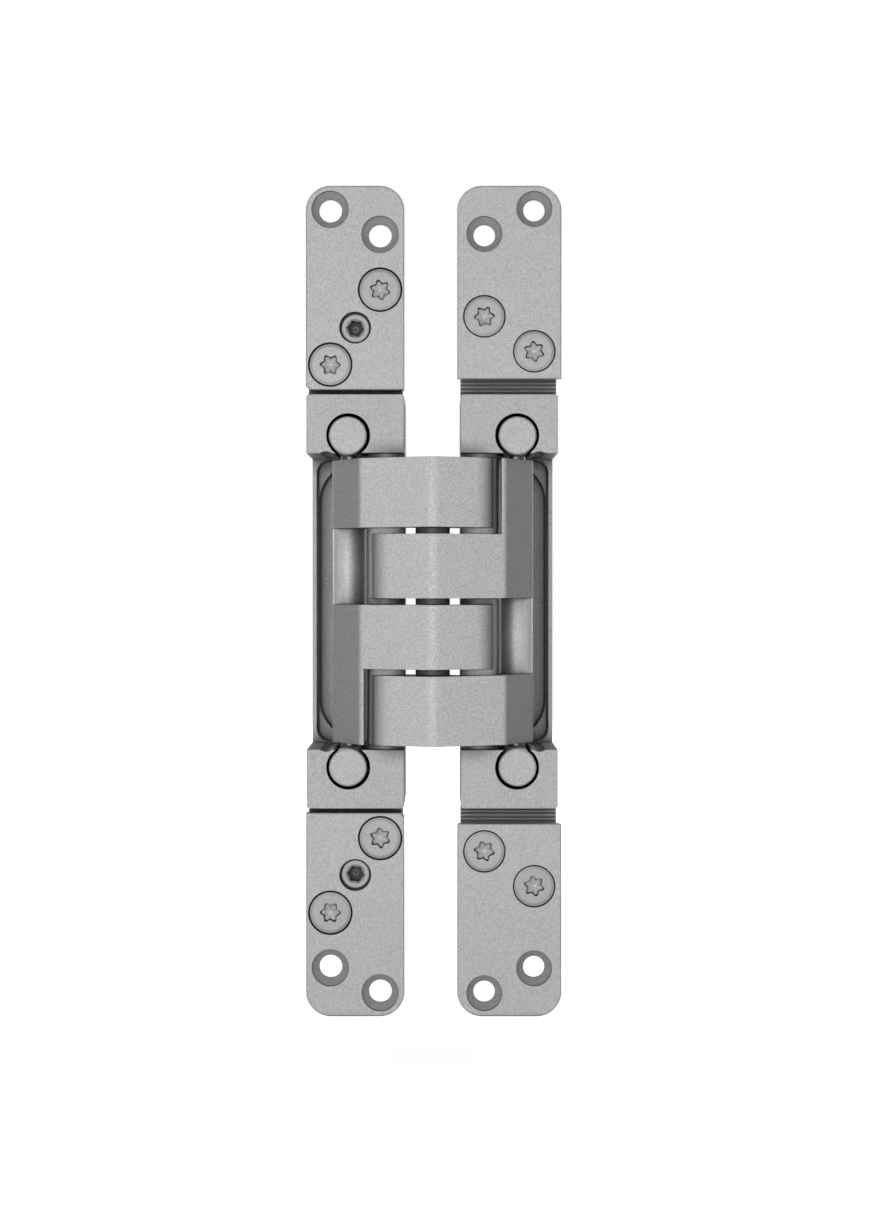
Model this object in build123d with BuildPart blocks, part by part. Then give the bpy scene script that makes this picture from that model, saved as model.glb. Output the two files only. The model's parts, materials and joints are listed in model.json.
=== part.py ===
from build123d import *
import os
from math import atan2, cos, degrees, hypot, radians, sin, sqrt, tan

# Concealed door hinge, opened flat. Two cases are let into the frame and into the door, and
# four interleaved arms join them. Sizes are in millimetres. X runs across the two halves,
# Y runs from the face into the wood, Z runs along the hinge. The frame side is at negative X.

# Halves, seen from the front
hinge_height = 200.0
half_x = {"frame": 18.65, "door": 18.45}
plate_width = {"frame": 23.7, "door": 25.1}
plate_overhang = {"frame": 0.1, "door": 0.85}
side_sign = {"frame": -1, "door": 1}

# Case, with depths counted from the face plane
block_end_z = 49.9
pocket_half_z = 35.7
case_depth = 39.0
rim_depth = 31.0
rim_wall = 1.0
ledge_depth = 33.6
floor_depth = 36.0
floor_draft = 12.0
pocket_corner_r = 3.5
block_corner = 0.5
block_edge_r = 0.2
back_chamfer = 1.2

# Arm mechanism in plan: every axis is vertical
pivot_x = 11.2
pivot_depth = 5.5
slide_x = 20.45
slide_depth = 13.75
centre_depth = 2.25
ridge_height = 9.8
ridge_round = 3.0
knee_x = 17.6
knee_depth = 0.0
knee_round = 2.5
arm_end_x = 14.7
arm_end_r = 8.0
outer_end_x = 16.6
outer_end_edge = 0.25

# Hubs, pins and bushes
slide_hub_r = 4.2
pivot_hub_r = 4.58
centre_boss_r = 4.15
hub_clearance = 0.45
slide_pin_r = 2.2
pivot_pin_r = 2.5
centre_pin_r = 2.5
bush_wall = 0.85
running_clearance = 0.05
pivot_pin_end = 8.0

# Levels of the arms along the hinge
arm_slot = 1.6
arm_split_z = 17.0
arm_end_z = 34.5
pin_edge = 0.35
washer_gap = 0.05

# Sliders in their bores
slider_r = 4.55
slider_z = 40.0
slider_length = 20.0
slider_play = 0.75
slider_sway = 0.12
slider_edge = 0.35
bore_depth = 29.5
slide_pin_end_z = 42.0
sleeve_r = 4.1
scallop_r = 2.4
scallop_x = 25.65
scallop_height = 0.5

# Fixing plates and what clamps them
plate_thickness = 4.0
plate_depth = {"frame": 4.5, "door": 10.0}
plate_draft = {"frame": 1.0, "door": 4.0}
plate_inner_z = {"frame": 50.9, "door": 53.5}
plate_outer_r = 6.0
plate_corner = 1.0
plate_edge = 0.3
thick_end_z = 82.0
height_plate_thickness = 2.0
rib_pitch = 0.95
rib_depth = 0.5
flange_end_z = 82.0
flange_thickness = 8.0
flange_inset = 0.4
side_travel = 1.0
height_travel = 3.0

# Screws and holes, the edge sizes counted from the side of the plate or of the case
wood_screw_edge = {"frame": 5.85, "door": 6.55}
wood_screw_z = {"frame": (94.3, 88.3), "door": (88.4, 94.4)}
wood_screw_r = {"frame": 2.75, "door": 2.6}
countersink_r = {"frame": 4.48, "door": 4.32}
countersink_step = 1.2
clamp_edge = {"frame": 5.75, "door": 5.7}
clamp_z = {"frame": (57.0, 75.0), "door": (68.6, 60.2)}
clamp_head_r = {"frame": 4.98, "door": 4.87}
clamp_head_gap = {"frame": 0.38, "door": 0.25}
clamp_head_thickness = 2.6
clamp_head_chamfer = 0.15
clamp_shank_r = 2.5
clamp_hole_gap = 0.25
clamp_turns = {"frame": (8, 24, 41, 15), "door": (33, 5, 18, 50)}
lobe_core_r = 1.8
lobe_ring_r = 2.0
lobe_r = 0.5
socket_depth = 1.6
socket_tip_depth = 2.3
socket_tip_r = 1.2
clamp_bar_thickness = 5.0
clamp_bar_edge = 2.5
clamp_bar_margin = 4.8
adjuster_z = 65.9
adjuster_recess = 2.2
adjuster_head_r = 3.4
adjuster_head_gap = 0.44
adjuster_head_thickness = 1.0
adjuster_stem_r = 2.8
adjuster_stem_gap = 0.15
adjuster_stem_end = 7.0
adjuster_cam_r = 1.5
adjuster_cam_length = 4.0
cam_clearance = 0.03
adjuster_angle = 50.0
hex_across_flats = 3.5
hex_turn = -10
hex_mouth_r = 2.35
hex_depth = 3.5

# Worked-out sizes
case_width = {half: plate_width[half] - 2 * plate_overhang[half] for half in plate_width}
roof_angle = degrees(atan2(ridge_height + knee_depth, knee_x))
ridge_top = ridge_height - ridge_round * (1 / cos(radians(roof_angle)) - 1)
face_y = (ridge_top - case_depth) / 2
outer_z = hinge_height / 2
bore_r = slider_r + slider_play
bore_x = slide_x - slider_sway
cam_offset = side_travel / sin(radians(adjuster_angle))
cam_play = cam_offset * sin(radians(adjuster_angle / 2)) - side_travel / 2 + cam_clearance
flange_front = {"frame": plate_depth["frame"], "door": plate_depth["door"] + height_plate_thickness}
arm_low_z = arm_slot / 2
arm_split_low = arm_split_z - arm_slot / 2
arm_split_high = arm_split_z + arm_slot / 2

os.makedirs("parts", exist_ok=True)


def into(depth):
    # Y of a depth below the face plane
    return face_y + depth


def face_at(depth):
    # Plane that faces the viewer at a depth below the face plane; its own y is the hinge's Z
    return Plane.XZ.offset(-into(depth))


def middle_x(half):
    return side_sign[half] * half_x[half]


def turned_over(points, half):
    # The lower end of a half is its upper end turned by half a turn about the half's middle
    return [(2 * middle_x(half) - x, -z) for x, z in points]


def both_ends(points, half):
    return points + turned_over(points, half)


def left_and_right(half, offset, levels):
    # Two places of the upper end, at the left and at the right of the half's middle
    z_left, z_right = levels
    return [(middle_x(half) - offset, z_left), (middle_x(half) + offset, z_right)]


def clamp_points(half):
    return left_and_right(half, case_width[half] / 2 - clamp_edge[half], clamp_z[half])


def wood_screw_points(half):
    offset = plate_width[half] / 2 - wood_screw_edge[half]
    return left_and_right(half, offset, wood_screw_z[half])


def half_turn(half):
    return Axis((middle_x(half), 0, 0), (0, 1, 0))


def save(node, name):
    node.part.label = name
    export_step(node.part, f"parts/{name}.step")


# Plan geometry of the arms


def tangent(c1, r1, c2, r2):
    # Ends of a straight line from one circle to the next that touches both, with the circles
    # on its right as Y points up; a negative radius puts a circle on the line's left
    dx = c2[0] - c1[0]
    dy = c2[1] - c1[1]
    length = hypot(dx, dy)
    ux, uy = dx / length, dy / length
    along = (r1 - r2) / length
    across = sqrt(1 - along * along)
    nx = ux * along - uy * across
    ny = uy * along + ux * across
    return (c1[0] + r1 * nx, c1[1] + r1 * ny), (c2[0] + r2 * nx, c2[1] + r2 * ny)


def round_arc(centre, radius, start, end, turn):
    # Arc about a centre from one point to another, turn +1 for anticlockwise in X and Y
    first = degrees(atan2(start[1] - centre[1], start[0] - centre[0]))
    last = degrees(atan2(end[1] - centre[1], end[0] - centre[0]))
    sweep = (last - first) % 360
    if turn < 0:
        sweep -= 360
    return CenterArc(centre, radius, first, sweep)


slide_axis = (-slide_x, into(slide_depth))
near_axis = (-pivot_x, into(pivot_depth))
far_axis = (pivot_x, into(pivot_depth))
cross_axis = (0.0, into(centre_depth))


def arm_profile(z_low):
    # One arm in plan: a shallow roof, a steep outer facet down to the sliding hub, a hollow
    # that clears the other arms' fixed hub, the crossing boss and the fixed hub
    slope = radians(roof_angle)
    ridge = (0.0, into(-ridge_height))
    knee = (-knee_x, into(knee_depth))
    void_r = pivot_hub_r + hub_clearance
    end_centre_x = arm_end_x - arm_end_r
    end_centre_d = -(ridge_height - end_centre_x * tan(slope) - arm_end_r / cos(slope))
    end_centre = (end_centre_x, into(end_centre_d))
    end_side = (arm_end_x, into(end_centre_d))
    end_top = (end_centre_x + arm_end_r * sin(slope), into(end_centre_d - arm_end_r * cos(slope)))
    hub_reach = sqrt(pivot_hub_r**2 - (arm_end_x - pivot_x) ** 2)
    hub_top = (arm_end_x, into(pivot_depth - hub_reach))
    facet_foot = tangent(knee, 0, slide_axis, slide_hub_r)[1]
    slide_exit, hollow_start = tangent(slide_axis, slide_hub_r, near_axis, -void_r)
    hollow_end, boss_start = tangent(near_axis, -void_r, cross_axis, centre_boss_r)
    boss_end, hub_start = tangent(cross_axis, centre_boss_r, far_axis, pivot_hub_r)
    with BuildSketch(Plane.XY.offset(z_low)) as profile:
        with BuildLine():
            Line(ridge, knee)
            Line(knee, facet_foot)
            round_arc(slide_axis, slide_hub_r, facet_foot, slide_exit, -1)
            Line(slide_exit, hollow_start)
            round_arc(near_axis, void_r, hollow_start, hollow_end, 1)
            Line(hollow_end, boss_start)
            round_arc(cross_axis, centre_boss_r, boss_start, boss_end, -1)
            Line(boss_end, hub_start)
            round_arc(far_axis, pivot_hub_r, hub_start, hub_top, -1)
            Line(hub_top, end_side)
            round_arc(end_centre, arm_end_r, end_side, end_top, -1)
            Line(end_top, ridge)
        make_face()
        fillet(profile.vertices().sort_by_distance(ridge)[0], ridge_round)
        fillet(profile.vertices().sort_by_distance(knee)[0], knee_round)
    return profile


def column(axis, radius, z_low, z_high, mode=Mode.ADD):
    # Upright cylinder about one of the vertical axes
    with BuildSketch(Plane.XY.offset(z_low)) as disc:
        with Locations(axis):
            Circle(radius)
    extrude(disc.sketch, amount=z_high - z_low, mode=mode)


def ring(axis, outer, inner, z_low, z_high):
    with BuildSketch(Plane.XY.offset(z_low)) as washer:
        with Locations(axis):
            Circle(outer)
            Circle(inner, mode=Mode.SUBTRACT)
    extrude(washer.sketch, amount=z_high - z_low)


slide_bush_r = slide_pin_r + running_clearance + bush_wall
pivot_bush_r = pivot_pin_r + running_clearance + bush_wall
centre_bush_r = centre_pin_r + running_clearance + bush_wall


def outer_end(z_low, z_high):
    # The steep outer facet with its sliding hub, which stands free of the next arm
    with BuildPart() as end:
        with BuildSketch(Plane.XY.offset(z_low)) as outline:
            add(arm_profile(z_low).sketch)
            with Locations((-outer_end_x - slide_x, 0)):
                Rectangle(2 * slide_x, 2 * case_depth, mode=Mode.INTERSECT)
        extrude(outline.sketch, amount=z_high - z_low)
        upright = end.edges().filter_by(Axis.Z).group_by(Axis.X)[-1].sort_by(Axis.Y)[0]
        chamfer(upright, outer_end_edge)
    return end


def cast_arm(body_low, body_high, slide_span, pivot_span):
    # Arm casting at its own level, with ends that reach beside and behind the next arm
    with BuildPart() as arm:
        extrude(arm_profile(body_low).sketch, amount=body_high - body_low)
        if slide_span != (body_low, body_high):
            add(outer_end(*slide_span).part)
        column(slide_axis, slide_hub_r, *slide_span)
        column(far_axis, pivot_hub_r, *pivot_span)
        column(slide_axis, slide_bush_r, *slide_span, mode=Mode.SUBTRACT)
        column(far_axis, pivot_bush_r, *pivot_span, mode=Mode.SUBTRACT)
        column(cross_axis, centre_bush_r, body_low, body_high, mode=Mode.SUBTRACT)
    return arm


def bush_set(body_low, body_high, slide_span, pivot_span):
    with BuildPart() as bushes:
        ring(slide_axis, slide_bush_r, slide_pin_r + running_clearance, *slide_span)
        ring(far_axis, pivot_bush_r, pivot_pin_r + running_clearance, *pivot_span)
        ring(cross_axis, centre_bush_r, centre_pin_r + running_clearance, body_low, body_high)
    return bushes


# Arms: the door arms slide in the frame case, the frame arms are the same castings turned
# by half a turn about Y

outer_arm = (arm_split_high, arm_end_z, (arm_split_high, arm_end_z), (arm_low_z, arm_end_z))
inner_arm = (-arm_split_low, -arm_low_z, (-arm_end_z, -arm_low_z), (-arm_end_z, -arm_low_z))

for place, level, opposite in (("upper", outer_arm, "lower"), ("lower", inner_arm, "upper")):
    casting = cast_arm(*level)
    save(casting, f"door_arm_{place}")
    liners = bush_set(*level)
    save(liners, f"door_arm_bushes_{place}")
    with BuildPart() as turned_casting:
        add(casting.part.rotate(Axis.Y, 180))
    save(turned_casting, f"frame_arm_{opposite}")
    with BuildPart() as turned_liners:
        add(liners.part.rotate(Axis.Y, 180))
    save(turned_liners, f"frame_arm_bushes_{opposite}")

with BuildPart() as centre_pin:
    column(cross_axis, centre_pin_r, -arm_end_z, arm_end_z)
    chamfer(centre_pin.edges().filter_by(GeomType.CIRCLE), pin_edge)
save(centre_pin, "centre_pin")

with BuildPart() as centre_washers:
    for slot_z in (-arm_split_z, 0.0, arm_split_z):
        washer_low = slot_z - arm_slot / 2 + washer_gap
        washer_high = slot_z + arm_slot / 2 - washer_gap
        ring(cross_axis, centre_boss_r, centre_pin_r + running_clearance, washer_low, washer_high)
save(centre_washers, "centre_washers")

# Fixed pivot pins with their thrust washers, one set in each half

for half in ("frame", "door"):
    axis = (side_sign[half] * pivot_x, into(pivot_depth))
    pin_top = pocket_half_z + pivot_pin_end
    with BuildPart() as pivot_pin:
        column(axis, pivot_pin_r, -pin_top, pin_top)
    save(pivot_pin, f"{half}_pivot_pin")
    washer_hole = pivot_pin_r + running_clearance
    with BuildPart() as pivot_washers:
        ring(axis, pivot_hub_r, washer_hole, -arm_low_z + washer_gap, arm_low_z - washer_gap)
        ring(axis, pivot_hub_r, washer_hole, arm_end_z + washer_gap, pocket_half_z)
        ring(axis, pivot_hub_r, washer_hole, -pocket_half_z, -arm_end_z - washer_gap)
    save(pivot_washers, f"{half}_pivot_washers")

# Sliders: a round slider in each end block, joined by a pin that carries the arms' ends

for half in ("frame", "door"):
    axis = (side_sign[half] * slide_x, into(slide_depth))
    for place, end in (("upper", 1), ("lower", -1)):
        with BuildPart() as slider:
            with BuildSketch(face_at(0)):
                with Locations((axis[0], end * slider_z)):
                    Circle(slider_r)
            extrude(amount=-slider_length)
            chamfer(slider.edges().filter_by(GeomType.CIRCLE), slider_edge)
            hole_ends = sorted((end * pocket_half_z / 2, end * slide_pin_end_z))
            column(axis, slide_pin_r, *hole_ends, mode=Mode.SUBTRACT)
        save(slider, f"{half}_slider_{place}")
    with BuildPart() as slide_pin:
        column(axis, slide_pin_r, -slide_pin_end_z, slide_pin_end_z)
    save(slide_pin, f"{half}_slide_pin")
    sleeve_low = (-arm_low_z + washer_gap, arm_split_high - washer_gap)
    sleeve_high = (-arm_split_high + washer_gap, arm_low_z - washer_gap)
    with BuildPart() as sleeve:
        ring(axis, sleeve_r, slide_pin_r, *(sleeve_low if half == "frame" else sleeve_high))
    save(sleeve, f"{half}_slide_sleeve")

# Cases: two end blocks, a low tub that ties them together and an end flange at each end


def build_case(half):
    sign = side_sign[half]
    middle = middle_x(half)
    width = case_width[half]
    block_mid_z = (block_end_z + pocket_half_z) / 2
    flange_mid_z = (block_end_z + flange_end_z) / 2
    with BuildPart() as case:
        with BuildSketch(face_at(0)):
            with Locations((middle, block_mid_z), (middle, -block_mid_z)):
                Rectangle(width, block_end_z - pocket_half_z)
        extrude(amount=-case_depth)
        corners = case.edges().filter_by(Axis.Y)
        chamfer(corners.group_by(Axis.Z)[0] + corners.group_by(Axis.Z)[-1], block_corner)
        fillet(case.edges().group_by(Axis.Y)[0], block_edge_r)
        with BuildSketch(face_at(rim_depth)):
            with Locations((middle, 0)):
                Rectangle(width, 2 * pocket_half_z)
        extrude(amount=rim_depth - case_depth)
        chamfer(case.edges().group_by(Axis.Y)[-1].filter_by(Axis.Z), back_chamfer)
        # The pocket keeps a shallow ledge in its corners, outside a floor with round ends
        inside = width - 2 * rim_wall
        with BuildSketch(face_at(rim_depth)):
            with Locations((middle, 0)):
                RectangleRounded(inside, 2 * pocket_half_z, pocket_corner_r)
        extrude(amount=rim_depth - ledge_depth, taper=floor_draft, mode=Mode.SUBTRACT)
        with BuildSketch(face_at(rim_depth)):
            with Locations((middle, 0)):
                SlotOverall(2 * pocket_half_z, inside, rotation=90)
        extrude(amount=rim_depth - floor_depth, taper=floor_draft, mode=Mode.SUBTRACT)
        with BuildSketch(face_at(flange_front[half])):
            with Locations((middle, flange_mid_z), (middle, -flange_mid_z)):
                Rectangle(width - 2 * flange_inset, flange_end_z - block_end_z)
        extrude(amount=-flange_thickness)
        # Slots that let the case move on its clamp screws, across on the frame side and
        # along on the door side
        travel, turn = (side_travel, 0) if half == "frame" else (height_travel, 90)
        slot_width = 2 * (clamp_shank_r + clamp_hole_gap)
        with BuildSketch(face_at(flange_front[half])):
            with Locations(*both_ends(clamp_points(half), half)):
                SlotOverall(slot_width + 2 * travel, slot_width, rotation=turn)
        extrude(amount=-flange_thickness, mode=Mode.SUBTRACT)
        # Slider bores break through into the pocket, which leaves the way for the slide pin
        with BuildSketch(face_at(0)):
            with Locations((sign * bore_x, slider_z), (sign * bore_x, -slider_z)):
                Circle(bore_r)
        extrude(amount=-bore_depth, mode=Mode.SUBTRACT)
        scallop_z = pocket_half_z + scallop_height - scallop_r
        with BuildSketch(face_at(0)):
            with Locations((sign * scallop_x, scallop_z), (sign * scallop_x, -scallop_z)):
                Circle(scallop_r)
        extrude(amount=-rim_depth, mode=Mode.SUBTRACT)
        pin_top = pocket_half_z + pivot_pin_end
        pivot = (sign * pivot_x, into(pivot_depth))
        column(pivot, pivot_pin_r, -pin_top, pin_top, mode=Mode.SUBTRACT)
        if half == "frame":
            cam_slot = 2 * (adjuster_cam_r + cam_play)
            cam_point = [(middle, adjuster_z + cam_offset)]
            with BuildSketch(face_at(flange_front[half])):
                with Locations(*both_ends(cam_point, half)):
                    SlotOverall(cam_slot + cam_offset, cam_slot, rotation=90)
            extrude(amount=-flange_thickness, mode=Mode.SUBTRACT)
            with BuildSketch(face_at(flange_front[half])):
                with Locations(*both_ends([(middle, adjuster_z)], half)):
                    Circle(adjuster_stem_r + side_travel + adjuster_stem_gap)
            extrude(amount=flange_front[half] - adjuster_stem_end, mode=Mode.SUBTRACT)
    return case


for half in ("frame", "door"):
    save(build_case(half), f"{half}_case")

# Fixing plates


def cut_screw_seats(half):
    with Locations(face_at(countersink_step)):
        with Locations(*wood_screw_points(half)):
            CounterSinkHole(wood_screw_r[half], countersink_r[half], counter_sink_angle=90)
    with Locations(face_at(0)):
        with Locations(*clamp_points(half)):
            CounterBoreHole(
                clamp_shank_r + clamp_hole_gap,
                clamp_head_r[half] + clamp_head_gap[half],
                clamp_head_thickness,
                2 * plate_depth[half],
            )


def build_plate(half):
    # Upper plate: thick where the clamp screws are, thin where the wood screws are, with one
    # corner cut off that tells its outer side
    low = plate_inner_z[half]
    depth = plate_depth[half]
    with BuildPart() as plate:
        with BuildSketch(face_at(0)) as outline:
            with Locations((middle_x(half), (low + outer_z) / 2)):
                Rectangle(plate_width[half], outer_z - low)
            fillet(outline.vertices().group_by(Axis.Y)[-1], plate_outer_r)
            if half == "frame":
                chamfer(outline.vertices().group_by(Axis.Y)[0].sort_by(Axis.X)[0], plate_corner)
        extrude(amount=-depth)
        chamfer(plate.edges().group_by(Axis.Y)[0], plate_edge)
        # Draft of the sides and of the inner end
        with BuildSketch(face_at(0)):
            with Locations((middle_x(half), low + hinge_height / 2)):
                Rectangle(plate_width[half], hinge_height)
        extrude(amount=-depth, taper=plate_draft[half], mode=Mode.INTERSECT)
        with BuildSketch(face_at(plate_thickness)):
            with Locations((middle_x(half), (thick_end_z + outer_z) / 2)):
                Rectangle(2 * plate_width[half], outer_z - thick_end_z)
        extrude(amount=plate_thickness - depth, mode=Mode.SUBTRACT)
        cut_screw_seats(half)
        if half == "frame":
            with Locations(face_at(0)):
                with Locations((middle_x(half), adjuster_z)):
                    CounterBoreHole(
                        adjuster_stem_r + running_clearance,
                        adjuster_head_r + adjuster_head_gap,
                        adjuster_recess + adjuster_head_thickness,
                        2 * depth,
                    )
    return plate


for half in ("frame", "door"):
    plate = build_plate(half)
    save(plate, f"{half}_plate_upper")
    with BuildPart() as lower_plate:
        add(plate.part.rotate(half_turn(half), 180))
    save(lower_plate, f"{half}_plate_lower")

# Ribbed height plates between the door plates and the door case

with BuildPart() as height_plate:
    length = thick_end_z - block_end_z
    with BuildSketch(face_at(plate_depth["door"])):
        with Locations((middle_x("door"), (thick_end_z + block_end_z) / 2)):
            Rectangle(case_width["door"], length)
    extrude(amount=-height_plate_thickness)
    groove_count = int(length / rib_pitch) - 1
    with BuildSketch(Plane.YZ.offset(middle_x("door") - case_width["door"] / 2)):
        for groove in range(groove_count):
            groove_z = block_end_z + rib_pitch * (groove + 1)
            with Locations((into(plate_depth["door"]), groove_z)):
                Polygon((0, -rib_depth / 2), (rib_depth, 0), (0, rib_depth / 2), align=None)
    extrude(amount=case_width["door"], mode=Mode.SUBTRACT)
    slot_width = 2 * (clamp_shank_r + clamp_hole_gap)
    with BuildSketch(face_at(plate_depth["door"])):
        with Locations(*clamp_points("door")):
            SlotOverall(slot_width + 2 * height_travel, slot_width, rotation=90)
    extrude(amount=-height_plate_thickness, mode=Mode.SUBTRACT)
save(height_plate, "door_height_plate_upper")

with BuildPart() as lower_height_plate:
    add(height_plate.part.rotate(half_turn("door"), 180))
save(lower_height_plate, "door_height_plate_lower")

# Clamp screws with six-lobe sockets, and the threaded bars that they pull up

for half in ("frame", "door"):
    points = both_ends(clamp_points(half), half)
    bar_front = flange_front[half] + flange_thickness
    bar_back = bar_front + clamp_bar_thickness
    with BuildPart() as clamp_screws:
        with BuildSketch(face_at(0)):
            with Locations(*points):
                Circle(clamp_head_r[half])
        extrude(amount=-clamp_head_thickness)
        chamfer(clamp_screws.edges().group_by(Axis.Y)[0], clamp_head_chamfer)
        with BuildSketch(face_at(clamp_head_thickness)):
            with Locations(*points):
                Circle(clamp_shank_r)
        extrude(amount=clamp_head_thickness - bar_back)
        for point, turn in zip(points, clamp_turns[half]):
            with BuildSketch(face_at(0)):
                with Locations(Location((*point, 0), (0, 0, turn))):
                    Circle(lobe_core_r)
                    with PolarLocations(lobe_ring_r, 6):
                        Circle(lobe_r)
            extrude(amount=-socket_depth, mode=Mode.SUBTRACT)
        tip_length = socket_tip_depth - socket_depth
        with BuildSketch(face_at(socket_depth)):
            with Locations(*points):
                Circle(lobe_core_r)
        tip_taper = degrees(atan2(lobe_core_r - socket_tip_r, tip_length))
        extrude(amount=-tip_length, taper=tip_taper, mode=Mode.SUBTRACT)
    save(clamp_screws, f"{half}_clamp_screws")
    bar_low = min(clamp_z[half]) - clamp_bar_margin
    bar_high = max(clamp_z[half]) + clamp_bar_margin
    with BuildPart() as clamp_bar:
        with BuildSketch(face_at(bar_front)):
            with Locations((middle_x(half), (bar_low + bar_high) / 2)):
                Rectangle(case_width[half] - 2 * clamp_bar_edge, bar_high - bar_low)
            with Locations(*clamp_points(half)):
                Circle(clamp_shank_r, mode=Mode.SUBTRACT)
        extrude(amount=-clamp_bar_thickness)
    save(clamp_bar, f"{half}_clamp_bar_upper")
    with BuildPart() as lower_bar:
        add(clamp_bar.part.rotate(half_turn(half), 180))
    save(lower_bar, f"{half}_clamp_bar_lower")

# Adjusting screws of the frame side: a cam below the plate moves the case sideways

with BuildPart() as adjuster:
    centre = (middle_x("frame"), adjuster_z)
    head_back = adjuster_recess + adjuster_head_thickness
    with BuildSketch(face_at(adjuster_recess)):
        with Locations(centre):
            Circle(adjuster_head_r)
    extrude(amount=-adjuster_head_thickness)
    with BuildSketch(face_at(head_back)):
        with Locations(centre):
            Circle(adjuster_stem_r)
    extrude(amount=head_back - adjuster_stem_end)
    with BuildSketch(face_at(adjuster_stem_end)):
        with Locations((centre[0], centre[1] + cam_offset)):
            Circle(adjuster_cam_r)
    extrude(amount=-adjuster_cam_length)
    with BuildSketch(face_at(adjuster_recess)):
        with Locations(centre):
            RegularPolygon(hex_across_flats / 2, 6, major_radius=False, rotation=hex_turn)
    extrude(amount=-hex_depth, mode=Mode.SUBTRACT)
    with BuildSketch(face_at(adjuster_recess)):
        with Locations(centre):
            Circle(hex_mouth_r)
    extrude(amount=hex_across_flats / 2 - hex_mouth_r, taper=45, mode=Mode.SUBTRACT)
save(adjuster, "frame_adjuster_upper")

with BuildPart() as lower_adjuster:
    add(adjuster.part.rotate(half_turn("frame"), 180))
save(lower_adjuster, "frame_adjuster_lower")
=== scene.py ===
import bpy
import json
import numpy as np
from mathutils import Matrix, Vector


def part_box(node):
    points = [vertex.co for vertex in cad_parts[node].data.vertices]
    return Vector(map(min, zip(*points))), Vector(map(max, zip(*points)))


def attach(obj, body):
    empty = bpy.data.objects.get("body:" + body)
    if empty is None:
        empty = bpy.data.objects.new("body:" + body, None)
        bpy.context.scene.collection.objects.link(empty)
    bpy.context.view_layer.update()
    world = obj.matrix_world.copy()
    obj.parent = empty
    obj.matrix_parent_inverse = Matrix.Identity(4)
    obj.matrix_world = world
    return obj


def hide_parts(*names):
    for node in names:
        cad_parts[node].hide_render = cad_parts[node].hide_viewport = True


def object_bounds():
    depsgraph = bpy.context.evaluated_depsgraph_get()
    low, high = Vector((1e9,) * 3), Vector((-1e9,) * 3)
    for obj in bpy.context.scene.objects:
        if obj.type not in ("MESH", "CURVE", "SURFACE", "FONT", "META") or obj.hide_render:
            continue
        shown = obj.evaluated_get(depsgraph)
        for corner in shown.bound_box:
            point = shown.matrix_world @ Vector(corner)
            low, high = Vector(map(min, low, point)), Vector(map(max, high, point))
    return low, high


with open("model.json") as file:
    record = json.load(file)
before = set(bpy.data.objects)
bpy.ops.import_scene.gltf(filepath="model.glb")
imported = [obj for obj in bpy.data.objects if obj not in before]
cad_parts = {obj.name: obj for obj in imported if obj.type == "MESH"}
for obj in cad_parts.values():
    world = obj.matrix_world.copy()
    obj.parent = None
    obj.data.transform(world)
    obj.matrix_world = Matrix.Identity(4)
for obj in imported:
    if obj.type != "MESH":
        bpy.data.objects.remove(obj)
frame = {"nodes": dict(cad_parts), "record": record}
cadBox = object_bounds()
nodes = frame["nodes"]
scene = bpy.context.scene
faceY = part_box("frame_plate_upper")[0].y  # the front of all four fixing plates
print("frame loaded,", len(nodes), "nodes")


def newGroup(name, inputs, outputs):
    # inputs: (label, socket type, value), outputs: (label, socket type)
    group = bpy.data.node_groups.new(name, "ShaderNodeTree")
    for label, kind, value in inputs:
        socket = group.interface.new_socket(label, in_out="INPUT", socket_type=kind)
        socket.default_value = value
    for label, kind in outputs:
        group.interface.new_socket(label, in_out="OUTPUT", socket_type=kind)
    return group


def addNode(tree, kind, links=None, **settings):
    # links: input name or number -> another node's output, or a value
    node = tree.nodes.new(kind)
    for key, value in settings.items():
        setattr(node, key, value)
    for key, value in (links or {}).items():
        if isinstance(value, bpy.types.NodeSocket):
            tree.links.new(value, node.inputs[key])
        else:
            node.inputs[key].default_value = value
    return node


grainPattern = {
    "speckleDetail": 2, "speckleRoughness": 0.6,
    "slowSize": 90, "slowDetail": 3, "slowRoughness": 0.55,
    "middle": 0.5,           # the noise swings about this value
    "roughnessSwing": 0.12}


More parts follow.
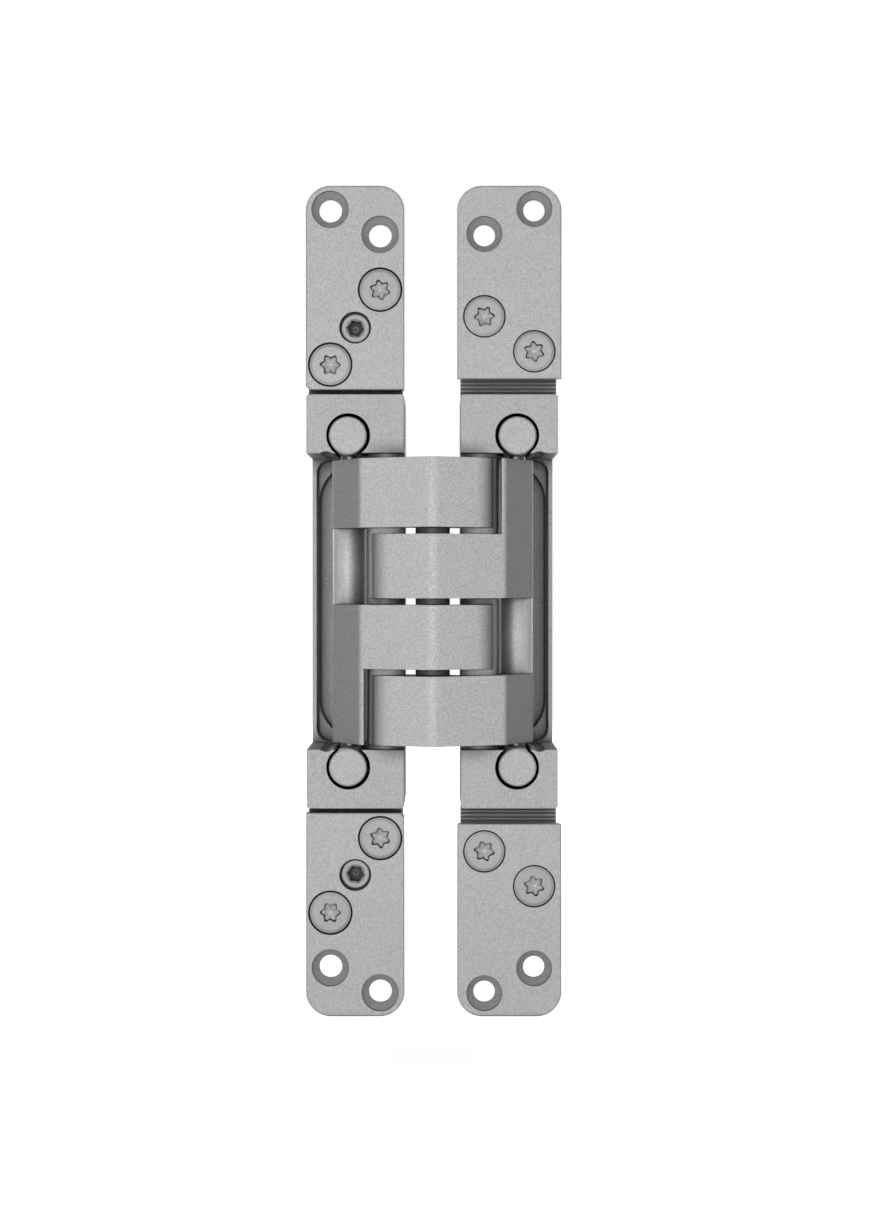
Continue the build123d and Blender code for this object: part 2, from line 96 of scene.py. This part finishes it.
def buildGrain():
    # Fine satin grain: a speckle of the coating with a slow unevenness below it
    group = newGroup("satinGrain", (
        ("Colour", "NodeSocketColor", (0.6, 0.6, 0.6, 1)),
        ("Grain size", "NodeSocketFloat", 3000),
        ("Speckle", "NodeSocketFloat", 0.1),
        ("Unevenness", "NodeSocketFloat", 0.05),
        ("Roughness", "NodeSocketFloat", 0.4),
    ), (
        ("Colour", "NodeSocketColor"),
        ("Roughness", "NodeSocketFloat"),
        ("Height", "NodeSocketFloat"),
    ))
    given = addNode(group, "NodeGroupInput").outputs
    place = addNode(group, "ShaderNodeTexCoord").outputs["Object"]
    speckle = addNode(group, "ShaderNodeTexNoise", {
        "Vector": place, "Scale": given["Grain size"], "Detail": grainPattern["speckleDetail"],
        "Roughness": grainPattern["speckleRoughness"]}).outputs[0]
    slow = addNode(group, "ShaderNodeTexNoise", {
        "Vector": place, "Scale": grainPattern["slowSize"], "Detail": grainPattern["slowDetail"],
        "Roughness": grainPattern["slowRoughness"]}).outputs[0]
    fine = addNode(group, "ShaderNodeMath", {0: speckle, 1: grainPattern["middle"]},
                   operation="SUBTRACT").outputs[0]
    wide = addNode(group, "ShaderNodeMath", {0: slow, 1: grainPattern["middle"]},
                   operation="SUBTRACT").outputs[0]
    finePart = addNode(group, "ShaderNodeMath", {0: fine, 1: given["Speckle"], 2: 1},
                       operation="MULTIPLY_ADD").outputs[0]
    tone = addNode(group, "ShaderNodeMath", {0: wide, 1: given["Unevenness"], 2: finePart},
                   operation="MULTIPLY_ADD").outputs[0]
    colour = addNode(group, "ShaderNodeVectorMath", {0: given["Colour"], "Scale": tone},
                     operation="SCALE").outputs[0]
    rough = addNode(group, "ShaderNodeMath", {
        0: wide, 1: grainPattern["roughnessSwing"], 2: given["Roughness"]},
        operation="MULTIPLY_ADD").outputs[0]
    addNode(group, "NodeGroupOutput", {"Colour": colour, "Roughness": rough, "Height": speckle})
    return group


# ray samples of the rounded edge normal, and of the painted shade in recesses
raySamples = {"edge": 6, "recess": 8}


def buildSoftEdge():
    # Rounded edges: the rounded normal of an edge, and a mask where it leaves the flat one, which
    # places a painted highlight
    group = newGroup("softEdge", (
        ("Radius", "NodeSocketFloat", 0.0003),
        ("Reach", "NodeSocketFloat", 4),
    ), (
        ("Normal", "NodeSocketVector"),
        ("Edge", "NodeSocketFloat"),
    ))
    given = addNode(group, "NodeGroupInput").outputs
    rounded = addNode(group, "ShaderNodeBevel", {"Radius": given["Radius"]},
                      samples=raySamples["edge"]).outputs[0]
    flat = addNode(group, "ShaderNodeNewGeometry").outputs["Normal"]
    match = addNode(group, "ShaderNodeVectorMath", {0: rounded, 1: flat},
                    operation="DOT_PRODUCT").outputs["Value"]
    turned = addNode(group, "ShaderNodeMath", {0: 1, 1: match}, operation="SUBTRACT").outputs[0]
    edge = addNode(group, "ShaderNodeMath", {0: turned, 1: given["Reach"]},
                   operation="MULTIPLY", use_clamp=True).outputs[0]
    addNode(group, "NodeGroupOutput", {"Normal": rounded, "Edge": edge})
    return group


def buildPaintedRecessShade():
    # Painted shade in recesses: how open a place is, raised to a power, mixes two tones, so
    # closed-in places get a darker colour. Walls look further for what stands before them than
    # flat faces do.
    group = newGroup("paintedRecessShade", (
        ("Colour", "NodeSocketColor", (0.6, 0.6, 0.6, 1)),
        ("Depth", "NodeSocketFloat", 0.005),
        ("Wall depth", "NodeSocketFloat", 0.005),
        ("Flatness", "NodeSocketFloat", 1),
        ("Sharpness", "NodeSocketFloat", 1.5),
        ("Darkest", "NodeSocketFloat", 0.2),
    ), (
        ("Colour", "NodeSocketColor"),
    ))
    given = addNode(group, "NodeGroupInput").outputs
    reach = addNode(group, "ShaderNodeMapRange", {
        "Value": given["Flatness"], "To Min": given["Wall depth"],
        "To Max": given["Depth"]}).outputs[0]
    openness = addNode(group, "ShaderNodeAmbientOcclusion", {"Distance": reach},
                       samples=raySamples["recess"]).outputs["AO"]
    shaped = addNode(group, "ShaderNodeMath", {0: openness, 1: given["Sharpness"]},
                     operation="POWER").outputs[0]
    level = addNode(group, "ShaderNodeMapRange", {
        "Value": shaped, "To Min": given["Darkest"], "To Max": 1}).outputs[0]
    toned = addNode(group, "ShaderNodeVectorMath", {0: given["Colour"], "Scale": level},
                    operation="SCALE").outputs[0]
    addNode(group, "NodeGroupOutput", {"Colour": toned})
    return group


flankRange = {"steep": 0.35, "flat": 0.87}  # the normal's part to the front or back


def buildPaintedFlankShade():
    # Painted shade on the flanks: the colour darkens as the part of the rounded normal that points
    # to the piece's front or back falls. Flatness is that part between the two ends of flankRange,
    # as 0 to 1.
    group = newGroup("paintedFlankShade", (
        ("Colour", "NodeSocketColor", (0.6, 0.6, 0.6, 1)),
        ("Steepest", "NodeSocketFloat", 0.6),
        ("Normal", "NodeSocketVector", (0, 0, 0)),
    ), (
        ("Colour", "NodeSocketColor"),
        ("Flatness", "NodeSocketFloat"),
    ))
    given = addNode(group, "NodeGroupInput").outputs
    facing = addNode(group, "ShaderNodeVectorTransform", {0: given["Normal"]},
                     vector_type="NORMAL", convert_from="WORLD", convert_to="OBJECT").outputs[0]
    parts = addNode(group, "ShaderNodeSeparateXYZ", {0: facing}).outputs
    front = addNode(group, "ShaderNodeMath", {0: parts["Y"]}, operation="ABSOLUTE").outputs[0]
    flatness = addNode(group, "ShaderNodeMapRange", {
        "Value": front, "From Min": flankRange["steep"],
        "From Max": flankRange["flat"]}).outputs[0]
    level = addNode(group, "ShaderNodeMapRange", {
        "Value": flatness, "To Min": given["Steepest"], "To Max": 1}).outputs[0]
    toned = addNode(group, "ShaderNodeVectorMath", {0: given["Colour"], "Scale": level},
                    operation="SCALE").outputs[0]
    addNode(group, "NodeGroupOutput", {"Colour": toned, "Flatness": flatness})
    return group


satinGrain = buildGrain()
softEdge = buildSoftEdge()
paintedRecessShade = buildPaintedRecessShade()
paintedFlankShade = buildPaintedFlankShade()
print("shader groups built")


def satinMetal(name, look):
    # Grain, then a painted highlight on the edges, painted shade on the flanks and painted shade
    # in recesses on one shader
    material = bpy.data.materials.new(name)
    material.use_nodes = True
    tree = material.node_tree
    tree.nodes.clear()
    grain = addNode(tree, "ShaderNodeGroup", {
        "Colour": (*look["colour"], 1), "Grain size": look["grainSize"],
        "Speckle": look["speckle"], "Unevenness": look["unevenness"],
        "Roughness": look["roughness"]}, node_tree=satinGrain).outputs
    edge = addNode(tree, "ShaderNodeGroup", {"Radius": look["edgeRadius"]},
                   node_tree=softEdge).outputs
    # A Mix node's two colours are its inputs 6 and 7, and its mixed colour is output 2
    # Painted highlight: the edge mask mixes the colour towards a lighter edge colour
    edgeHighlighted = addNode(tree, "ShaderNodeMix", {
        0: edge["Edge"], 6: grain["Colour"], 7: (*look["edgeHighlightColour"], 1)},
        data_type="RGBA").outputs[2]
    # Painted shade: flanks turned away from the front get a darker colour
    flankShade = addNode(tree, "ShaderNodeGroup", {
        "Colour": edgeHighlighted, "Normal": edge["Normal"], "Steepest": look["flankShade"]},
        node_tree=paintedFlankShade).outputs
    # Painted shade: closed-in places and walls near other surfaces get a darker colour
    recess = addNode(tree, "ShaderNodeGroup", {
        "Colour": flankShade["Colour"], "Flatness": flankShade["Flatness"],
        "Depth": look["recessShadeDepth"],
        "Wall depth": look.get("wallShadeDepth", look["recessShadeDepth"]),
        "Sharpness": look["recessShadeSharpness"], "Darkest": look["recessShadeDarkest"]},
        node_tree=paintedRecessShade).outputs
    bump = addNode(tree, "ShaderNodeBump", {
        "Strength": look["bump"], "Distance": look["grainHeight"],
        "Height": grain["Height"], "Normal": edge["Normal"]}).outputs
    surface = addNode(tree, "ShaderNodeBsdfPrincipled", {
        "Base Color": recess["Colour"], "Roughness": grain["Roughness"],
        "Normal": bump["Normal"], "Metallic": look["metallic"],
        "Specular IOR Level": look["gloss"]}).outputs
    addNode(tree, "ShaderNodeOutputMaterial", {"Surface": surface[0]})
    return material


plainLook = {
    "metallic": 0.06, "gloss": 0.12, "roughness": 0.48, "flankShade": 0.8,
    "grainSize": 3000, "grainHeight": 0.00002, "bump": 0.4, "speckle": 1.0, "unevenness": 0.06,
    "edgeRadius": 0.0003, "edgeHighlightColour": (0.64, 0.64, 0.65),
    "recessShadeDepth": 0.005, "recessShadeSharpness": 1.5, "recessShadeDarkest": 0.08}
looks = {  # by the material slot of the record; what a look leaves out is as in plainLook
    "plate_satin": {"name": "plateSatin", "colour": (0.465, 0.465, 0.47), "gloss": 0.06,
                    "flankShade": 0.7},
    "case_casting": {"name": "caseCoating", "colour": (0.475, 0.475, 0.48), "gloss": 0.03,
                     "metallic": 0.03, "recessShadeSharpness": 2.0, "recessShadeDarkest": 0,
                     "wallShadeDepth": 0.016},
    "arm_casting": {"name": "armCoating", "colour": (0.585, 0.585, 0.59), "gloss": 0.02,
                    "metallic": 0.02, "speckle": 1.3, "recessShadeDepth": 0.003,
                    "recessShadeSharpness": 1.0, "recessShadeDarkest": 0.4, "flankShade": 0.49},
    # The ribbed plate's colour is set darker than the fixing plates' as painted shade under the
    # overhanging plate
    "ribbed_plate": {"name": "ribbedPlate", "colour": (0.4, 0.4, 0.405), "gloss": 0.04,
                     "recessShadeDepth": 0.006, "recessShadeDarkest": 0.2},
    "screw_steel": {"name": "screwSteel", "colour": (0.33, 0.33, 0.335), "metallic": 0.12,
                    "gloss": 0.2, "roughness": 0.4, "speckle": 0.6, "edgeRadius": 0.00012,
                    "recessShadeDepth": 0.0011, "recessShadeSharpness": 1.2, "recessShadeDarkest": 0.1},
    "slider_steel": {"name": "sliderSteel", "colour": (0.45, 0.45, 0.455),
                     "recessShadeDepth": 0.002, "recessShadeDarkest": 0.75, "flankShade": 1},
    "sleeve_satin": {"name": "sleeveSatin", "colour": (0.54, 0.54, 0.545), "metallic": 0.2,
                     "recessShadeDepth": 0.01, "recessShadeSharpness": 2.0},
    "pin_steel": {"name": "pinSteel", "colour": (0.5, 0.5, 0.51), "metallic": 0.8,
                  "roughness": 0.3},
    "washer": {"name": "washerSteel", "colour": (0.5, 0.5, 0.505), "metallic": 0.2},
    "bearing_bush": {"name": "bearingBush", "colour": (0.35, 0.28, 0.18), "metallic": 0.7},
    "clamp_bar": {"name": "clampBarSteel", "colour": (0.3, 0.3, 0.31), "metallic": 0.5},
}
finishes = {slotName: satinMetal(look["name"], {**plainLook, **look})
            for slotName, look in looks.items()}
for part in frame["record"]["subparts"]:
    nodes[part["node"]].data.materials.clear()
    nodes[part["node"]].data.materials.append(finishes[part["material_slot"]])
print("materials on", len(nodes), "nodes")

# Screws: rings round an axis along Y, with the socket cut in from the front. Lengths in mm.
ringSteps = 120
millimetre = 0.001
ringAngles = np.arange(ringSteps) * 2 * np.pi / ringSteps


def circle(radius):
    # The same radius all round
    return np.full(ringSteps, float(radius))


def star(valley, tip, sharpness):
    # The valley radius, plus the tip's extra where six cosine waves peak, raised to a power
    wave = (1 + np.cos(6 * ringAngles)) / 2
    return valley + (tip - valley) * wave ** sharpness


def hexagon(acrossFlats):
    # Half the width over the cosine of the angle to the middle of the nearest flat
    sixth = np.pi / 3
    return acrossFlats / 2 / np.cos(ringAngles % sixth - sixth / 2)


def turnedShell(rings, centre, turn):
    # Point (ring, angle) = centre + (radius * cosine, depth, radius * sine): the depth counts
    # from the plates' front, a radius may change with the angle, and the end rings are points.
    # A ring may also be set off upwards, as the cam of an adjuster is.
    depths = np.array([ring[0] for ring in rings])
    radii = np.array([ring[1] for ring in rings])
    offsets = np.array([ring[2] if len(ring) > 2 else 0 for ring in rings])
    angles = ringAngles + np.radians(turn)
    grid = np.stack((centre[0] + radii * np.cos(angles),
                     depths[:, None] + 0 * radii,
                     centre[1] + offsets[:, None] + radii * np.sin(angles)), axis=-1)
    points = np.concatenate((grid[0, :1], grid[1:-1].reshape(-1, 3), grid[-1, :1])) * millimetre
    points[:, 1] += faceY
    ringCount = len(rings) - 2
    here = np.arange(ringSteps)
    following = (here + 1) % ringSteps
    starts = 1 + ringSteps * np.arange(ringCount - 1)[:, None]
    quads = np.stack((starts + here, starts + ringSteps + here, starts + ringSteps + following,
                      starts + following), axis=-1).reshape(-1, 4)
    last = 1 + ringSteps * (ringCount - 1)
    front = np.stack((np.zeros_like(here), 1 + here, 1 + following), axis=-1)
    back = np.stack((last + here, np.full_like(here, len(points) - 1), last + following), axis=-1)
    return points, quads, np.concatenate((front, back))


def shellPiece(name, shells, material, creaseAngle):
    # Joins the shells in one mesh that stays smooth except at edges past the crease angle
    points, faces, used = [], [], 0
    for shellPoints, quads, fans in shells:
        points.append(shellPoints)
        faces += (quads + used).tolist() + (fans + used).tolist()
        used += len(shellPoints)
    mesh = bpy.data.meshes.new(name)
    mesh.from_pydata(np.concatenate(points).tolist(), [], faces)
    mesh.polygons.foreach_set("use_smooth", np.ones(len(faces), bool))
    mesh.set_sharp_from_angle(angle=np.radians(creaseAngle))
    mesh.materials.append(material)
    piece = bpy.data.objects.new(name, mesh)
    scene.collection.objects.link(piece)
    return piece


# Lit and shaded copies of the screw steel: a lighter socket floor as painted light and a
# near-black socket wall as painted shade
socketLooks = {
    "floor": {"name": "socketFloorPaintedLight", "colour": (0.52, 0.52, 0.525), "metallic": 0.25,
              "gloss": 0.2, "roughness": 0.36, "recessShadeDepth": 0.0009,
              "recessShadeSharpness": 0.8, "recessShadeDarkest": 0.5, "flankShade": 1},
    "wall": {"name": "socketWallPaintedShade", "colour": (0.08, 0.08, 0.082), "gloss": 0.1,
             "metallic": 0.05, "recessShadeDepth": 0.0016, "recessShadeDarkest": 0.1},
}
socketLitAndShadedCopies = [satinMetal(look["name"], {**plainLook, **look})
                  for look in socketLooks.values()]


def giveInside(piece, shells, shape):
    # The socket's floor is the fan in its middle with the first bands of quads, and takes the
    # lighter copy as painted light; its wall is the bands that follow, and takes the near-black
    # copy as painted shade. Where no band is floor, the fan is wall too.
    for material in socketLitAndShadedCopies:
        piece.data.materials.append(material)
    floorSlot, wallSlot = 1, 2
    inside = np.zeros(len(piece.data.polygons), np.int32)
    used = 0
    for shellPoints, quads, fans in shells:
        wallStart = used + shape["floorBands"] * ringSteps
        wallEnd = wallStart + shape["wallBands"] * ringSteps
        fanStart = used + len(quads)
        inside[used:wallStart] = floorSlot
        inside[wallStart:wallEnd] = wallSlot
        inside[fanStart:fanStart + ringSteps] = floorSlot if shape["floorBands"] else wallSlot
        used += len(quads) + len(fans)
    piece.data.polygons.foreach_set("material_index", inside)


clampScrew = {
    "headThickness": 2.6, "shankRadius": 2.5,
    "middle": ((2.2, 0), (2.12, 0.3)),               # the floor's centre: depth, radius
    "floor": ((1.45, 0.72), (1.2, 0.96), (1.1, 1)),  # depth, share of the floor's outline
    "floorBands": 3, "wallBands": 1,
    "wallDraft": 0.87,                               # the floor's outline over the mouth's
    "lobeTip": 2.5, "lobeValley": 1.75, "lobeSharpness": 1.15,
    "mouthRound": 0.07, "roundMiddle": (0.3, 0.4),   # shares of the round, down and out
    "flatRadius": 3.0,
    "rim": ((0, 0.74), (0, 0.65), (0.02, 0.62), (0.1, 0.1), (0.24, 0)),  # depth, from the edge
    "crease": 34}
clampScrewSets = {  # each screw: its place in x and z, and the angle of its first lobe
    "frame": {"headRadius": 4.98, "back": 17.5,
              "screws": (((-24.65, 57), -2), ((-12.65, 75), 42),
                         ((-12.65, -57), 37), ((-24.65, -75), -2))},
    "door": {"headRadius": 4.87, "back": 25,
             "screws": (((12.45, 68.6), 5), ((24.45, 60.2), 38),
                        ((24.45, -68.6), 43), ((12.45, -60.2), 49))},
}


def clampScrewRings(headRadius, back):
    # From the middle of the socket outwards over the head, then down to the end of the shank.
    # The floor's outline is the lobes' radius times the draft of the wall.
    shape = clampScrew
    lobes = star(shape["lobeValley"], shape["lobeTip"], shape["lobeSharpness"])
    mouth = lobes + shape["mouthRound"]
    down, out = shape["roundMiddle"]
    return (
        *((depth, circle(radius)) for depth, radius in shape["middle"]),
        *((depth, lobes * shape["wallDraft"] * share) for depth, share in shape["floor"]),
        (shape["mouthRound"], lobes),
        (shape["mouthRound"] * down, lobes + shape["mouthRound"] * out),
        (0, mouth),
        (0, (mouth + shape["flatRadius"]) / 2),
        (0, circle(shape["flatRadius"])),
        *((depth, circle(headRadius - inwards)) for depth, inwards in shape["rim"]),
        (shape["headThickness"], circle(headRadius)),
        (shape["headThickness"], circle(shape["shankRadius"])),
        (back, circle(shape["shankRadius"])),
        (back, circle(0)),
    )


for half, screwSet in clampScrewSets.items():
    rings = clampScrewRings(screwSet["headRadius"], screwSet["back"])
    shells = [turnedShell(rings, centre, turn) for centre, turn in screwSet["screws"]]
    piece = shellPiece(f"{half}ClampScrews", shells, finishes["screw_steel"], clampScrew["crease"])
    giveInside(piece, shells, clampScrew)
    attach(piece, f"{half}_plates")
    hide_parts(f"{half}_clamp_screws")
print("clamp screws made")

adjusterScrew = {
    "column": -18.65, "height": 65.9, "turn": -8, "recess": 2.2,
    "headRadius": 3.4, "headThickness": 1.0, "edgeRound": 0.12,
    "stemRadius": 2.8, "stemEnd": 7.0,
    "camRadius": 1.5, "camEnd": 11.0, "camOffset": 1.305,
    "acrossFlats": 3.5, "wallDraft": 0.97, "socketDepth": 3.5,
    "mouthRadius": 2.35, "mouthDrop": 0.42,
    "drill": ((0.25, 0), (0.1, 0.45), (-0.08, 0.55), (0, 0.68)),  # depth in the floor, radius
    "floorBands": 0, "wallBands": 4, "crease": 30}


def adjusterRings(side):
    # From the middle of the hexagon outwards over the head, then down over stem and cam.
    # The cam is a circle set off upwards, or downwards on the lower adjuster.
    shape = adjusterScrew
    flats = hexagon(shape["acrossFlats"])
    face = shape["recess"]
    cam = side * shape["camOffset"]
    bottom = face + shape["socketDepth"]
    headBack = face + shape["headThickness"]
    return (
        *((bottom + depth, circle(radius)) for depth, radius in shape["drill"]),
        (bottom, flats * shape["wallDraft"]),
        (face + shape["mouthDrop"], flats),
        (face, circle(shape["mouthRadius"])),
        (face, circle(shape["headRadius"] - shape["edgeRound"])),
        (face + shape["edgeRound"], circle(shape["headRadius"])),
        (headBack, circle(shape["headRadius"])),
        (headBack, circle(shape["stemRadius"])),
        (shape["stemEnd"], circle(shape["stemRadius"])),
        (shape["stemEnd"], circle(shape["camRadius"]), cam),
        (shape["camEnd"], circle(shape["camRadius"]), cam),
        (shape["camEnd"], circle(0), cam),
    )


for end, side in (("upper", 1), ("lower", -1)):
    shell = turnedShell(adjusterRings(side),
                        (adjusterScrew["column"], side * adjusterScrew["height"]),
                        adjusterScrew["turn"])
    piece = shellPiece(f"{end}Adjuster", [shell], finishes["screw_steel"], adjusterScrew["crease"])
    giveInside(piece, [shell], adjusterScrew)
    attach(piece, f"{end}_adjuster")
    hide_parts(f"frame_adjuster_{end}")
print("adjusters made")

# The floor's drop keeps it clear of the door plates at the lowest height adjustment
floorLook = {
    "halfWidth": 4.0, "drop": 0.0033, "roughness": 0.9, "colour": 0.85, "bounceColour": 0.5,
    "nearGlow": 0.76, "farGlow": 1.0, "nearRadius": 0.25, "farRadius": 0.7}
bpy.ops.mesh.primitive_plane_add(size=2 * floorLook["halfWidth"],
                                 location=(0, 0, cadBox[0].z - floorLook["drop"]))
floor = bpy.context.object
floor.name = "floor"


def seenRay(tree):
    # 1 for rays that show the background: straight to the camera, mirrored or through glass
    rays = addNode(tree, "ShaderNodeLightPath").outputs
    total = addNode(tree, "ShaderNodeMath", {0: rays["Is Camera Ray"], 1: rays["Is Glossy Ray"]},
                    operation="ADD").outputs[0]
    return addNode(tree, "ShaderNodeMath", {0: total, 1: rays["Is Transmission Ray"]},
                   operation="ADD", use_clamp=True).outputs[0]


floorMaterial = bpy.data.materials.new("paleFloor")
floorMaterial.use_nodes = True
tree = floorMaterial.node_tree
tree.nodes.clear()
seen = seenRay(tree)
paint = addNode(tree, "ShaderNodeMapRange", {
    "Value": seen, "To Min": floorLook["bounceColour"], "To Max": floorLook["colour"]}).outputs[0]
# The floor glows more with the distance from its middle, so it meets the white room unseen
reach = addNode(tree, "ShaderNodeVectorMath", {
    0: addNode(tree, "ShaderNodeTexCoord").outputs["Object"]}, operation="LENGTH").outputs["Value"]
spread = addNode(tree, "ShaderNodeMapRange", {
    "Value": reach, "From Min": floorLook["nearRadius"], "From Max": floorLook["farRadius"],
    "To Min": floorLook["nearGlow"], "To Max": floorLook["farGlow"]},
    interpolation_type="SMOOTHSTEP").outputs[0]
glow = addNode(tree, "ShaderNodeMath", {0: seen, 1: spread}, operation="MULTIPLY").outputs[0]
surface = addNode(tree, "ShaderNodeBsdfPrincipled", {
    "Base Color": paint, "Roughness": floorLook["roughness"], "Specular IOR Level": 0,
    "Emission Color": (1, 1, 1, 1), "Emission Strength": glow}).outputs[0]
addNode(tree, "ShaderNodeOutputMaterial", {"Surface": surface})
floor.data.materials.append(floorMaterial)

roomLight = 0.055  # what the white room gives the hinge, where a seen ray finds 1
world = bpy.data.worlds.new("whiteRoom")
scene.world = world
world.use_nodes = True
tree = world.node_tree
tree.nodes.clear()
level = addNode(tree, "ShaderNodeMapRange", {
    "Value": seenRay(tree), "To Min": roomLight, "To Max": 1}).outputs[0]
sky = addNode(tree, "ShaderNodeBackground", {
    "Color": (1, 1, 1, 1), "Strength": level}).outputs[0]
addNode(tree, "ShaderNodeOutputWorld", {"Surface": sky})

softboxes = {  # all aim at the middle of the hinge
    "leftFront": {"place": (-0.18, -0.8, -0.05), "size": 0.35, "power": 5.1},
    "rightFront": {"place": (0.16, -0.81, -0.05), "size": 0.35, "power": 2.65},
    "overhead": {"place": (0.1, 0.7, 0.8), "size": 0.5, "power": 1.0},
    "leftBehind": {"place": (-0.6, 1.05, 0.25), "size": 0.5, "power": 6},
    "rightBehind": {"place": (0.6, 1.05, 0.25), "size": 0.5, "power": 6},
}
for name, box in softboxes.items():
    light = bpy.data.lights.new(name, "AREA")
    light.size = box["size"]
    light.energy = box["power"]
    lamp = bpy.data.objects.new(name, light)
    lamp.location = box["place"]
    lamp.rotation_euler = (-Vector(box["place"])).to_track_quat("-Z", "Y").to_euler()
    scene.collection.objects.link(lamp)

view = {"distance": 0.630, "side": 0.0018, "height": 0.0042, "aimX": 0.0008, "aimZ": -0.0006,
        "lens": 78.0, "sensor": 36, "nearest": 0.01}
cameraData = bpy.data.cameras.new("camera")
cameraData.lens = view["lens"]
cameraData.sensor_width = view["sensor"]
cameraData.clip_start = view["nearest"]
camera = bpy.data.objects.new("camera", cameraData)
camera.location = (view["side"], faceY - view["distance"], view["height"])
aim = Vector((view["aimX"], faceY, view["aimZ"]))
camera.rotation_euler = (aim - camera.location).to_track_quat("-Z", "Y").to_euler()
scene.collection.objects.link(camera)
scene.camera = camera
scene.view_settings.view_transform = "Standard"
print("floor, lights and camera in place")
